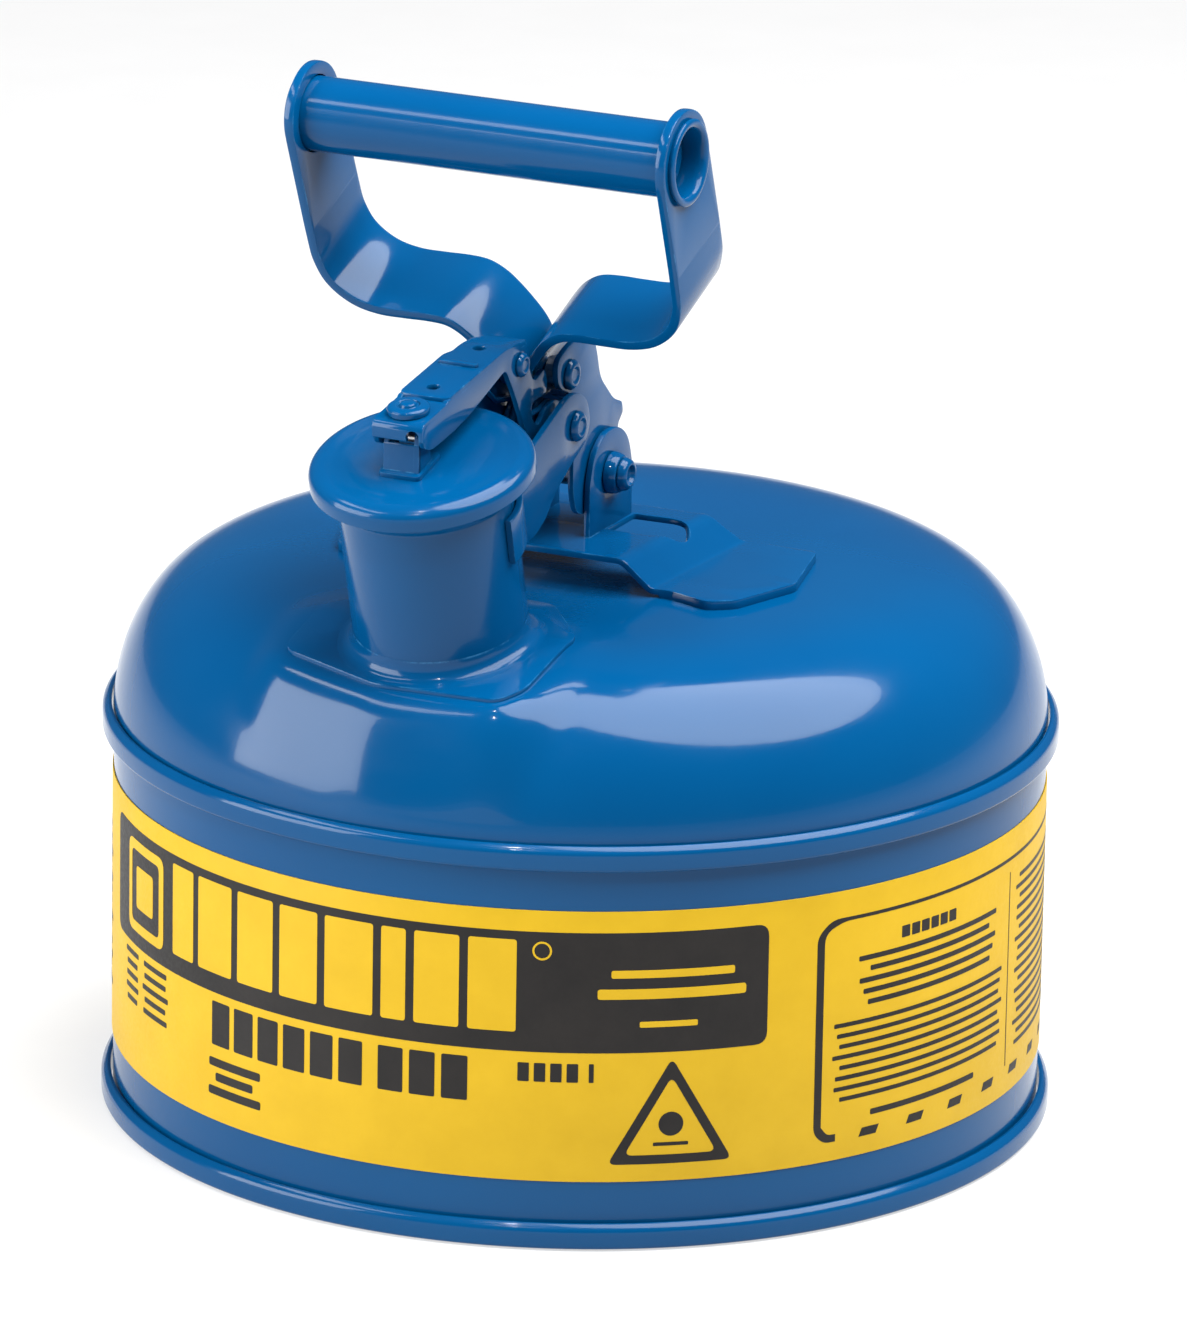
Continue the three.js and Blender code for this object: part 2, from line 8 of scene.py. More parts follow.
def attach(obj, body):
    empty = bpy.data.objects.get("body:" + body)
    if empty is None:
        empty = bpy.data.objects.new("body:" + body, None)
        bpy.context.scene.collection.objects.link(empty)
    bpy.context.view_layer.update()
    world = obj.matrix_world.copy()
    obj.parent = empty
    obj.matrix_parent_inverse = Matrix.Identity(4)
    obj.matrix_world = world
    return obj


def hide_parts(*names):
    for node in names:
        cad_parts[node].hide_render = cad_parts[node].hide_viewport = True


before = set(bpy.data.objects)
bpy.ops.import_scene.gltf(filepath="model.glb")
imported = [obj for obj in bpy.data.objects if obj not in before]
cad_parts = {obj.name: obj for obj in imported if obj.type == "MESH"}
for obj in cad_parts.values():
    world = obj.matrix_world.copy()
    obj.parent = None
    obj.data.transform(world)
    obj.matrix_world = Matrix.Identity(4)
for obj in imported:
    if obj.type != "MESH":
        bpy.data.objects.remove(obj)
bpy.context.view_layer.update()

MM = 0.001
scene = bpy.context.scene


# ---------------------------------------------------------------- materials

def new_material(name):
    material = bpy.data.materials.new(name)
    material.use_nodes = True
    nodes = material.node_tree.nodes
    links = material.node_tree.links
    return material, nodes, links, nodes["Principled BSDF"]


def noise(nodes, links, scale, detail=4.0, rough=0.5, stretch=None):
    """Procedural noise in the piece's own coordinates, stretched where it is asked for."""
    coord = nodes.new("ShaderNodeTexCoord")
    texture = nodes.new("ShaderNodeTexNoise")
    texture.inputs["Scale"].default_value = scale
    texture.inputs["Detail"].default_value = detail
    texture.inputs["Roughness"].default_value = rough
    if stretch:
        mapping = nodes.new("ShaderNodeMapping")
        mapping.inputs["Scale"].default_value = stretch
        links.new(coord.outputs["Object"], mapping.inputs["Vector"])
        links.new(mapping.outputs["Vector"], texture.inputs["Vector"])
    else:
        links.new(coord.outputs["Object"], texture.inputs["Vector"])
    return texture.outputs["Fac"]


def remap(nodes, links, value, low, high, to_low, to_high):
    """Takes the range low to high onto to_low to to_high, held at both ends."""
    node = nodes.new("ShaderNodeMapRange")
    node.inputs["From Min"].default_value = low
    node.inputs["From Max"].default_value = high
    node.inputs["To Min"].default_value = to_low
    node.inputs["To Max"].default_value = to_high
    links.new(value, node.inputs["Value"])
    return node.outputs["Result"]


def blend_colour(nodes, links, factor, a, b):
    """Mix of two colours, each a plain one or another node's output."""
    node = nodes.new("ShaderNodeMix")
    node.data_type = "RGBA"
    for socket, value in ((node.inputs[6], a), (node.inputs[7], b)):
        if isinstance(value, tuple):
            socket.default_value = (*value, 1.0)
        else:
            links.new(value, socket)
    links.new(factor, node.inputs[0])
    return node.outputs[2]


def bump(nodes, links, height, strength, distance):
    node = nodes.new("ShaderNodeBump")
    node.inputs["Strength"].default_value = strength
    node.inputs["Distance"].default_value = distance
    links.new(height, node.inputs["Height"])
    return node.outputs["Normal"]


def paint(name, deep, light, roughness):
    """Baked enamel: slow colour drift, thin spots on edges, orange peel under a clear coat."""
    material, nodes, links, shader = new_material(name)
    drift = noise(nodes, links, 9.0, 3.0)
    colour = blend_colour(nodes, links, remap(nodes, links, drift, 0.35, 0.65, 0.0, 1.0), deep, light)
    soft = nodes.new("ShaderNodeBevel")
    soft.samples = 4
    soft.inputs["Radius"].default_value = 0.0005
    match = nodes.new("ShaderNodeVectorMath")
    match.operation = "DOT_PRODUCT"
    links.new(soft.outputs["Normal"], match.inputs[0])
    links.new(nodes.new("ShaderNodeNewGeometry").outputs["Normal"], match.inputs[1])
    patch = noise(nodes, links, 150.0, 5.0, 0.65)
    sharp = remap(nodes, links, match.outputs["Value"], 0.985, 0.9, 0.0, 1.0)
    broken = remap(nodes, links, patch, 0.48, 0.66, 0.0, 0.4)
    worn = nodes.new("ShaderNodeMath")
    worn.operation = "MULTIPLY"
    links.new(sharp, worn.inputs[0])
    links.new(broken, worn.inputs[1])
    thin = blend_colour(nodes, links, worn.outputs[0], colour, (0.08, 0.33, 0.6))
    links.new(thin, shader.inputs["Base Color"])
    smear = noise(nodes, links, 24.0, 6.0, 0.6, (1.0, 1.0, 2.4))
    links.new(remap(nodes, links, smear, 0.3, 0.7, roughness - 0.05, roughness + 0.07),
              shader.inputs["Roughness"])
    peel = noise(nodes, links, 420.0, 2.0)
    links.new(bump(nodes, links, peel, 0.05, 0.0004), shader.inputs["Normal"])
    shader.inputs["IOR"].default_value = 1.4
    shader.inputs["Specular IOR Level"].default_value = 0.2
    shader.inputs["Coat Weight"].default_value = 0.17
    shader.inputs["Coat Roughness"].default_value = 0.03
    return material


def steel(name, dark, light, roughness):
    """Bare metal with a fine grain."""
    material, nodes, links, shader = new_material(name)
    grain = noise(nodes, links, 300.0, 4.0, 0.6)
    links.new(blend_colour(nodes, links, remap(nodes, links, grain, 0.3, 0.7, 0.0, 1.0), dark, light),
              shader.inputs["Base Color"])
    links.new(remap(nodes, links, grain, 0.3, 0.7, roughness - 0.08, roughness + 0.1),
              shader.inputs["Roughness"])
    links.new(bump(nodes, links, grain, 0.12, 0.0003), shader.inputs["Normal"])
    shader.inputs["Metallic"].default_value = 1.0
    return material


def printed(name, deep, light, roughness, coat):
    """Printed film: faint mottling of the ink and a slightly wavy laminate."""
    material, nodes, links, shader = new_material(name)
    mottle = noise(nodes, links, 60.0, 5.0, 0.6)
    fine = noise(nodes, links, 900.0, 2.0)
    tone = blend_colour(nodes, links, remap(nodes, links, mottle, 0.3, 0.7, 0.0, 1.0), deep, light)
    links.new(tone, shader.inputs["Base Color"])
    links.new(remap(nodes, links, fine, 0.3, 0.7, roughness - 0.05, roughness + 0.05),
              shader.inputs["Roughness"])
    links.new(bump(nodes, links, mottle, 0.05, 0.0006), shader.inputs["Normal"])
    shader.inputs["Specular IOR Level"].default_value = 0.25
    shader.inputs["Coat Weight"].default_value = coat
    shader.inputs["Coat Roughness"].default_value = 0.25
    return material


def rubber(name):
    """Matt black moulded rubber."""
    material, nodes, links, shader = new_material(name)
    grain = noise(nodes, links, 500.0, 4.0, 0.7)
    links.new(blend_colour(nodes, links, grain, (0.012, 0.012, 0.013), (0.032, 0.032, 0.034)),
              shader.inputs["Base Color"])
    links.new(remap(nodes, links, grain, 0.3, 0.7, 0.62, 0.82), shader.inputs["Roughness"])
    links.new(bump(nodes, links, grain, 0.2, 0.0003), shader.inputs["Normal"])
    return material


def perforated(name):
    """Sheet steel with a regular field of small round holes."""
    material, nodes, links, shader = new_material(name)
    coord = nodes.new("ShaderNodeTexCoord")
    cells = nodes.new("ShaderNodeTexVoronoi")
    cells.inputs["Scale"].default_value = 420.0
    cells.inputs["Randomness"].default_value = 0.0
    links.new(coord.outputs["Object"], cells.inputs["Vector"])
    hole = remap(nodes, links, cells.outputs["Distance"], 0.36, 0.44, 0.0, 1.0)
    grain = noise(nodes, links, 200.0, 3.0)
    metal = blend_colour(nodes, links, grain, (0.34, 0.34, 0.35), (0.52, 0.52, 0.53))
    links.new(blend_colour(nodes, links, hole, (0.015, 0.015, 0.016), metal),
              shader.inputs["Base Color"])
    links.new(hole, shader.inputs["Metallic"])
    links.new(remap(nodes, links, grain, 0.3, 0.7, 0.3, 0.45), shader.inputs["Roughness"])
    links.new(bump(nodes, links, hole, 0.5, 0.0005), shader.inputs["Normal"])
    return material


BLUE = paint("blue_enamel", (0.0, 0.052, 0.158), (0.0, 0.06, 0.176), 0.15)
YELLOW = printed("yellow_film", (0.52, 0.32, 0.003), (0.57, 0.355, 0.006), 0.5, 0.03)
INK = printed("dark_ink", (0.006, 0.005, 0.005), (0.012, 0.010, 0.009), 0.5, 0.05)
STEEL = steel("turned_steel", (0.42, 0.42, 0.43), (0.62, 0.62, 0.63), 0.32)
WIRE = steel("oiled_spring_wire", (0.05, 0.05, 0.05), (0.16, 0.155, 0.15), 0.3)
SCREEN = perforated("perforated_steel")
RUBBER = rubber("black_rubber")


# ---------------------------------------------------------------- mesh helpers

CREASE = math.radians(35)


def rounded(points, steps=6, closed=True):
    """Fine outline of [a, b, radius] points, its corners eased as the pressings' are."""
    path = []
    n = len(points)
    for i, point in enumerate(points):
        here = Vector(point[:2])
        radius = point[2] if len(point) > 2 else 0.0
        if not closed and i in (0, n - 1):
            path.append(here)
            continue
        back = Vector(points[i - 1][:2]) - here
        ahead = Vector(points[(i + 1) % n][:2]) - here
        cut = min(radius, back.length * 0.49, ahead.length * 0.49)
        if cut < 1e-6:
            path.append(here)
            continue
        start = here + back.normalized() * cut
        end = here + ahead.normalized() * cut
        for k in range(steps + 1):
            t = k / steps
            path.append(start * (1 - t) ** 2 + here * 2 * t * (1 - t) + end * t * t)
    return path


def circle(centre, radius, steps):
    return [Vector((centre[0] + radius * math.cos(2 * math.pi * k / steps),
                    centre[1] + radius * math.sin(2 * math.pi * k / steps))) for k in range(steps)]


def box_outline(a0, a1, b0, b1, radius=0.0):
    """Rectangle between two pairs of edges, its corners eased."""
    return rounded([[a0, b0, radius], [a1, b0, radius], [a1, b1, radius], [a0, b1, radius]], 5)


def sheet(outline, holes, low, high, edge=0.35):
    """Flat plate between two heights, with real holes and eased edges, in millimetres."""
    bm = bmesh.new()
    loops = []
    for loop in [outline, *holes]:
        verts = [bm.verts.new((p[0], p[1], low)) for p in loop]
        for i, v in enumerate(verts):
            loops.append(bm.edges.new((v, verts[(i + 1) % len(verts)])))
    bmesh.ops.triangle_fill(bm, use_beauty=True, use_dissolve=False, edges=loops)
    faces = list(bm.faces)
    grown = bmesh.ops.extrude_face_region(bm, geom=faces)
    moved = [g for g in grown["geom"] if isinstance(g, bmesh.types.BMVert)]
    bmesh.ops.translate(bm, verts=moved, vec=(0, 0, high - low))
    bmesh.ops.recalc_face_normals(bm, faces=bm.faces)
    if edge > 0:
        ring = [e for e in bm.edges if len(e.link_faces) == 2 and e.calc_face_angle(0) > 1.0
                and abs(e.verts[0].co.z - e.verts[1].co.z) < 1e-6]
        bmesh.ops.bevel(bm, geom=ring, offset=edge, segments=2, profile=0.6, affect="EDGES",
                        clamp_overlap=False)
    return bm


def ordered(bm):
    """Puts points, edges and faces in one fixed order by place, which cutting leaves open."""
    kinds = (
        (bm.verts, lambda v: v.co),
        (bm.edges, lambda e: (e.verts[0].co + e.verts[1].co) / 2),
        (bm.faces, lambda f: f.calc_center_median()),
    )
    for elements, centre in kinds:
        ranked = sorted(elements, key=lambda element: tuple(round(c, 5) for c in centre(element)))
        for i, element in enumerate(ranked):
            element.index = i
        elements.sort()


def sliced(bm, axis, cuts):
    """Adds the cuts that a sheet needs before it can be bent along an axis."""
    normal = Vector((0, 0, 0))
    normal[axis] = 1
    for at in cuts:
        place = Vector((0, 0, 0))
        place[axis] = at
        geometry = list(bm.verts) + list(bm.edges) + list(bm.faces)
        bmesh.ops.bisect_plane(bm, geom=geometry, plane_co=place, plane_no=normal, dist=1e-5)
    ordered(bm)


def mapped(bm, place):
    """Moves every point of a shell to where place() puts it."""
    for v in bm.verts:
        v.co = place(v.co.copy())
    return bm


def side_plate(outline, holes, low, high, edge=0.35):
    """Plate drawn in (y, z) that stands between two distances along x."""
    return mapped(sheet(outline, holes, low, high, edge), lambda co: Vector((co.z, co.x, co.y)))


def flipped(bm):
    """Mirror copy across x = 0."""
    copy = bm.copy()
    for v in copy.verts:
        v.co.x = -v.co.x
    bmesh.ops.reverse_faces(copy, faces=copy.faces)
    return copy


def lathe(profile, segments, place=None):
    """Turned shell from [radius, height] points. It meets the axis or closes on itself."""
    bm = bmesh.new()
    rings = []
    closed = (profile[0] - profile[-1]).length < 1e-6
    points = profile[:-1] if closed else profile
    for r, z in points:
        if r < 1e-6:
            rings.append([bm.verts.new((0, 0, z))])
            continue
        rings.append([bm.verts.new((r * math.cos(2 * math.pi * k / segments),
                                    r * math.sin(2 * math.pi * k / segments), z))
                      for k in range(segments)])
    pairs = list(zip(rings, rings[1:]))
    if closed:
        pairs.append((rings[-1], rings[0]))
    for low, high in pairs:
        for k in range(segments):
            j = (k + 1) % segments
            if len(low) == 1 and len(high) > 1:
                bm.faces.new((low[0], high[j], high[k]))
            elif len(high) == 1 and len(low) > 1:
                bm.faces.new((low[k], low[j], high[0]))
            elif len(low) > 1:
                bm.faces.new((low[k], low[j], high[j], high[k]))
    bmesh.ops.recalc_face_normals(bm, faces=bm.faces)
    if place:
        bm.transform(place)
    return bm


def turned_ring(line, segments, place=None):
    """Turned shell from an outline that goes once round the ring's section."""
    return lathe([*line, line[0]], segments, place)


def sided(line, side):
    """Profile along x as drawn for the right side, or mirrored for the left."""
    return [Vector((p[0], p[1] * side)) for p in line]


def swept(sections):
    """Solid swept through like rings of points and closed flat at both ends."""
    bm = bmesh.new()
    rings = [[bm.verts.new(p) for p in section] for section in sections]
    for low, high in zip(rings, rings[1:]):
        for j in range(len(low)):
            i = (j + 1) % len(low)
            bm.faces.new((low[j], low[i], high[i], high[j]))
    bm.faces.new(rings[0])
    bm.faces.new(list(reversed(rings[-1])))
    bmesh.ops.recalc_face_normals(bm, faces=bm.faces)
    return bm


def x_axis_at(y, z):
    """Stands a turned shell's axis along x at a point of the side view."""
    return Matrix.Translation((0, y, z)) @ Matrix.Rotation(math.pi / 2, 4, "Y")


def shaded(mesh):
    """Smooth shading with real creases."""
    for polygon in mesh.polygons:
        polygon.use_smooth = True
    mesh.set_sharp_from_angle(angle=CREASE)


def piece(name, shells, material, body, nodes=()):
    """One visible piece from one or more shells given in millimetres."""
    mesh = bpy.data.meshes.new(name)
    whole = bmesh.new()
    for shell in shells:
        temp = bpy.data.meshes.new("temp")
        shell.to_mesh(temp)
        shell.free()
        whole.from_mesh(temp)
        bpy.data.meshes.remove(temp)
    whole.transform(Matrix.Scale(MM, 4))
    whole.to_mesh(mesh)
    whole.free()
    shaded(mesh)
    mesh.materials.append(material)
    obj = bpy.data.objects.new(name, mesh)
    scene.collection.objects.link(obj)
    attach(obj, body)
    if nodes:
        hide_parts(*nodes)
    return obj


def painted(name, shells, body, *nodes):
    """Piece in the blue paint."""
    return piece(name, shells, BLUE, body, nodes)


def bored(obj, radius, low, high, segments, place):
    """Takes a round plug, given in millimetres on its own axis, out of a finished piece."""
    plug = lathe([Vector((0, low)), Vector((radius, low)), Vector((radius, high)), Vector((0, high))],
                 segments, place)
    mesh = bpy.data.meshes.new("cutter")
    plug.transform(Matrix.Scale(MM, 4))
    plug.to_mesh(mesh)
    plug.free()
    tool = bpy.data.objects.new("cutter", mesh)
    scene.collection.objects.link(tool)
    modifier = obj.modifiers.new("cut", "BOOLEAN")
    modifier.operation = "DIFFERENCE"
    modifier.solver = "EXACT"
    modifier.object = tool
    bpy.context.view_layer.update()
    graph = bpy.context.evaluated_depsgraph_get()
    result = bpy.data.meshes.new_from_object(obj.evaluated_get(graph))
    obj.modifiers.clear()
    obj.data = result
    bpy.data.objects.remove(tool)
    shaded(result)


# ---------------------------------------------------------------- shared shape of the can, mm

SEAM_R = 120.65
WALL_R = 117.7
DOME_R = 117.9
DOME_Z = 101.0
DOME_H = 41.7
DOME_GAUGE = 1.1
NECK_Y = -81
NECK_TILT = math.radians(15)
NECK_R = 21.6
NECK_GAUGE = 1.2
FLANGE_AT_NECK = 142.6
FLANGE_LEVEL = 143.9
LID_R = 27.7
TANK_SEGMENTS = 192
SIDES = ((1, "right"), (-1, "left"))
# Axes along x, as (y, z), and the holes punched for the two pins.
PIVOT = (-8.0, 166.5)
PIVOT_HOLE = 3.2
LEVER = (-33.0, 185.0)
LEVER_HOLE = 2.7
LID_PIN = (-102.6, 198.5)
CHEEK_RIVET = (-53, 204.8)
GRIP = (-54.7, 261.8)
# Inside and outside of the side plates along x, from the middle outwards.
LUG = (3.4, 4.8)
ARM_WALL = (5.35, 6.85)
YOKE = (7.2, 8.8)
EAR = (9.2, 10.8)
STRUT = (11.2, 12.8)
LEAN = math.radians(21.7)

neck = Matrix.Translation((0, NECK_Y, 142)) @ Matrix.Rotation(NECK_TILT, 4, "X")


def dome_line(steps, by=0.0):
    """Half section of the dome from its rim to its crown, set in or out by a distance."""
    line = []
    for i in range(steps + 1):
        t = (i / steps) ** 1.35 * math.pi / 2
        r = (DOME_R + by) * max(math.cos(t), 0.0) ** 0.25
        line.append(Vector((0.0 if i == steps else r, DOME_Z + by + DOME_H * math.sin(t) ** (1 / 0.9))))
    return line


def flange_height(y):
    """Top of the neck flange: tilted square to the neck in front, level behind it."""
    tilted = FLANGE_AT_NECK + (y - NECK_Y) * math.tan(NECK_TILT)
    gap = FLANGE_LEVEL - tilted
    return FLANGE_LEVEL - 0.5 * (gap + math.sqrt(gap * gap + 1.2))


def dome_height(radius):
    """Height of the dome's outside at a distance from the tank axis."""
    share = min(radius / DOME_R, 1.0) ** 4
    return DOME_Z + DOME_H * math.sqrt(max(1 - share * share, 0.0)) ** (1 / 0.9)


# ---------------------------------------------------------------- tank

outer = dome_line(80)
inner = dome_line(40, -DOME_GAUGE)
profile = [*reversed(inner), Vector((DOME_R - DOME_GAUGE, DOME_Z - 1)), Vector((DOME_R, DOME_Z - 1)),
           *outer]
shell = lathe(profile, 288)
flange_plan = rounded([
    [-6, -106.2, 3], [26.5, -105, 3], [31, -98.4, 3], [32, -71.4, 4], [15, -49, 4], [-20, -49, 4],
    [-35.5, -72.3, 4], [-35.5, -97, 4],
], 6)


def outside(x, y, loop):
    """Distance from a closed outline, zero inside it."""
    inside = False
    best = 1e9
    for i, b in enumerate(loop):
        a = loop[i - 1]
        if (a[1] > y) != (b[1] > y) and x < (b[0] - a[0]) * (y - a[1]) / (b[1] - a[1]) + a[0]:
            inside = not inside
        run = b - a
        t = min(max(((x - a[0]) * run[0] + (y - a[1]) * run[1]) / max(run.length_squared, 1e-9), 0), 1)
        best = min(best, math.hypot(x - a[0] - run[0] * t, y - a[1] - run[1] * t))
    return 0.0 if inside else best


# The dome is pressed up to a seat under the flange, with a soft slope round it.
SEAT_DROP = 1.0
SEAT_SLOPE = 12.0
for v in shell.verts:
    radius = math.hypot(v.co.x, v.co.y)
    rise = flange_height(v.co.y) - SEAT_DROP - dome_height(radius)
    if v.co.y < -20 and abs(v.co.x) < 60 and v.co.z > 108 and rise > 0:
        off = outside(v.co.x, v.co.y, flange_plan)
        share = max(1 - off / SEAT_SLOPE, 0.0)
        v.co.z += rise * share * share * (3 - 2 * share)
dome = painted("dome_skin", [shell], "can", "dome_top")
bored(dome, NECK_R - 0.6, -30, 30, 64, neck)

wall_line = rounded([[WALL_R - 1, 1.2], [WALL_R, 1.2], [WALL_R, 99.4], [WALL_R - 1, 99.4]])
wall_line[2:2] = [Vector((WALL_R, 3 + 2.5 * k)) for k in range(38)]
painted("wall_skin", [turned_ring(wall_line, TANK_SEGMENTS)], "can", "body_shell")


def seam(name, z, node):
    """Rolled bead with a tucked lower lip, its lowest point at z."""
    line = rounded([
        [DOME_R + 0.4, z + 0.3], [SEAM_R - 0.9, z, 0.7], [SEAM_R, z + 0.6, 0.8], [SEAM_R, z + 5.2, 2.2],
        [SEAM_R - 1.5, z + 6.6, 1.2], [DOME_R + 0.4, z + 6.3],
    ], 6)
    painted(name, [turned_ring(line, TANK_SEGMENTS)], "can", node)


seam("bottom_bead", 0.0, "bottom_seam")
seam("top_bead", 96.9, "top_seam")

pan_line = rounded([
    [0, 3.4], [104, 3.4, 2], [107, 1.4, 2], [116.3, 1.4], [116.3, 2.4], [107.4, 2.4, 2],
    [104.4, 4.4, 2], [0, 4.4],
], 5, closed=False)
painted("pan_skin", [lathe(pan_line, 128)], "can", "base_pan")


# ---------------------------------------------------------------- label

FILM_R = WALL_R + 0.31
FILM_LOW = 16.9
FILM_HIGH = 86.4
PRINT_GAUGE = 0.05
ABOVE_INK = 0.06
FACING = math.radians(-65)


def wrapped(outline, holes=(), depth=0.0):
    """Flat print laid round the tank: s runs round it from its facing side, z is up."""
    bm = sheet(outline, holes, depth, depth + PRINT_GAUGE, 0)
    lo = min(v.co.x for v in bm.verts)
    hi = max(v.co.x for v in bm.verts)
    count = max(1, int((hi - lo) / 2.5))
    sliced(bm, 0, [lo + (hi - lo) * k / count for k in range(1, count)])

    def around(co):
        angle = FACING + co.x / FILM_R
        r = FILM_R + co.z
        return Vector((r * math.cos(angle), r * math.sin(angle), co.y))

    return mapped(bm, around)


film = rounded([
    [WALL_R + 0.05, FILM_LOW], [FILM_R, FILM_LOW, 0.1], [FILM_R, FILM_HIGH, 0.1],
    [WALL_R + 0.05, FILM_HIGH],
], 3)
piece("label_film", [turned_ring(film, TANK_SEGMENTS)], YELLOW, "can", ["label_band"])


def block(s0, s1, z0, z1, radius=0.0, depth=0.0):
    """Plain printed rectangle."""
    return wrapped(box_outline(s0, s1, z0, z1, radius), (), depth)


def bars(s0, s1, z_top, pitch, height, count, ragged, depth=0.0):
    """Rows of plain bars that stand where blocks of small print would be."""
    rows = []
    for row in range(count):
        short = ragged * (0.5 + 0.5 * math.sin(2.4 * row + 1.1 * s0))
        z = z_top - row * pitch
        rows.append(block(s0 + short, s1 - short, z - height, z, height * 0.3, depth))
    return rows


# Printed dark: the panel, a row of solid blocks with a wider space after the sixth, a short
# row of small ones, and the small print.
prints = [block(-158, 48, 50.2, 81, 3.2)]
for k in range(9):
    start = -102 + 8.3 * k
    space = 0 if k < 6 else 2.6
    prints.append(block(start + space, start + 6.6 + space, 36.6, 48, 0.5))
prints += [block(-14 + 4 * k, -11.2 + 4 * k, 42.6, 47.4, 0.3) for k in range(4)]
prints.append(block(3.4, 4.6, 42.6, 47.4, 0.2))
prints += bars(-103.5, -84, 33.2, 3.7, 2.2, 3, 3.0)
prints += bars(-150, -140, 48.2, 3.1, 1.4, 5, 1.0)
prints += bars(-137, -122, 48.2, 3.1, 1.4, 5, 1.5)


TRIANGLE_AT = 23.8


def triangle(inset):
    """Plain triangle outline, drawn smaller inside itself by an inset."""
    base = 21.4 + inset
    half = 15.6 - inset * 1.75
    peak = 48.6 - inset * 2.05
    return rounded([
        [TRIANGLE_AT - half, base, 2.2], [TRIANGLE_AT + half, base, 2.2], [TRIANGLE_AT, peak, 2.2],
    ], 5)


prints.append(wrapped(triangle(0), [triangle(2.3)]))
prints.append(wrapped(circle((TRIANGLE_AT, 31.6), 3.1, 28)))
prints.append(block(19.4, 28.2, 26.0, 26.9, 0.3))


def notice(s0, s1):
    """Framed block of small print: heavy left rule, thin top rule, dashed foot."""
    rule = rounded([
        [s0, 30], [s0 + 2.1, 30], [s0 + 2.1, 76.4, 3.4], [s0 + 8, 78.6, 2],
        [s1, 78.6], [s1, 79.5], [s0 + 4, 79.5, 4], [s0, 75.5, 2],
    ], 5)
    corner = rounded([
        [s0, 30.2], [s0, 24.5, 3], [s0 + 3, 21.8, 2], [s0 + 6.4, 21.8],
        [s0 + 6.4, 23.7], [s0 + 4, 23.7, 1.5], [s0 + 2.1, 26], [s0 + 2.1, 30.2],
    ], 5)
    out = [wrapped(rule), wrapped(corner)]
    dash = s0 + 13.5
    while dash + 6 < s1:
        out.append(wrapped([(dash, 21.6), (dash + 5.4, 21.6), (dash + 6.4, 23.8), (dash + 1, 23.8)]))
        dash += 15.6
    out += [block(s0 + 26 + 3.5 * k, s0 + 28.8 + 3.5 * k, 70.8, 73.8, 0.3) for k in range(6)]
    out += bars(s0 + 12, s0 + 66, 68.6, 2.9, 1.3, 5, 4.0)
    out += bars(s0 + 5, s0 + 70, 52.2, 2.75, 1.1, 8, 2.4)
    out += bars(s0 + 17, s0 + 56, 28.2, 2.9, 1.5, 1, 0.5)
    out.append(block(s0 + 73.4, s0 + 73.8, 24.5, 75.5))
    out += bars(s0 + 78, s1 - 4, 73.4, 2.75, 1.1, 17, 3.0)
    return out


prints += notice(61.4, 188.0)
prints += notice(205.0, 331.0)
prints += bars(-300, -240, 72, 3.4, 1.7, 13, 6.0)
prints += bars(-228, -172, 72, 3.4, 1.7, 13, 6.0)
piece("label_ink", prints, INK, "can")

# Left yellow on the dark panel: a plain frame mark, a row of solid blocks, a small ring and
# three bars.
frame_mark = box_outline(-147.5, -124.5, 54, 78, 3.0)
marks = [wrapped(frame_mark, [box_outline(-145, -127, 56.6, 75.4, 1.8)], ABOVE_INK)]
marks.append(block(-141.5, -130.5, 60.5, 71.5, 1.2, ABOVE_INK))
left = -119.5
for width in (9.5, 13, 12, 11.5, 13.5, 6.5, 11.5, 12):
    marks.append(block(left, left + width, 55.2, 78.8, 0.8, ABOVE_INK))
    left += width + 2.2
ring = (-8.4, 76.2)
marks.append(wrapped(circle(ring, 2.4, 24), [circle(ring, 1.9, 24)], ABOVE_INK))
for s0, s1, z_top, height in ((8.5, 39.2, 71.4, 2.0), (5.2, 42.2, 66.6, 2.6), (15.6, 30.0, 58.2, 1.5)):
    marks += bars(s0, s1, z_top, 3, height, 1, 0.0, ABOVE_INK)
piece("label_marks", marks, YELLOW, "can")


# ---------------------------------------------------------------- neck, flange, lid

neck_line = rounded([
    [NECK_R - NECK_GAUGE, -7], [NECK_R, -7], [NECK_R, 41, 0.8], [NECK_R + 1.1, 42.4, 0.9],
    [NECK_R + 1.0, 44.0, 0.9], [NECK_R, 44.6, 0.8], [NECK_R - NECK_GAUGE, 43.8, 0.6],
], 6)
painted("neck_skin", [turned_ring(neck_line, 128, neck)], "can", "spout_neck")

FLANGE_GAUGE = 1.3
opening = [neck @ Vector((p.x, p.y, 0)) for p in circle((0, 0), NECK_R, 72)]
flange_sheet = sheet(flange_plan, [[(p.x, p.y) for p in opening]], -FLANGE_GAUGE, 0, 0.3)
sliced(flange_sheet, 1, [-84 + k for k in range(16)])
mapped(flange_sheet, lambda co: Vector((co.x, co.y, flange_height(co.y) + co.z)))


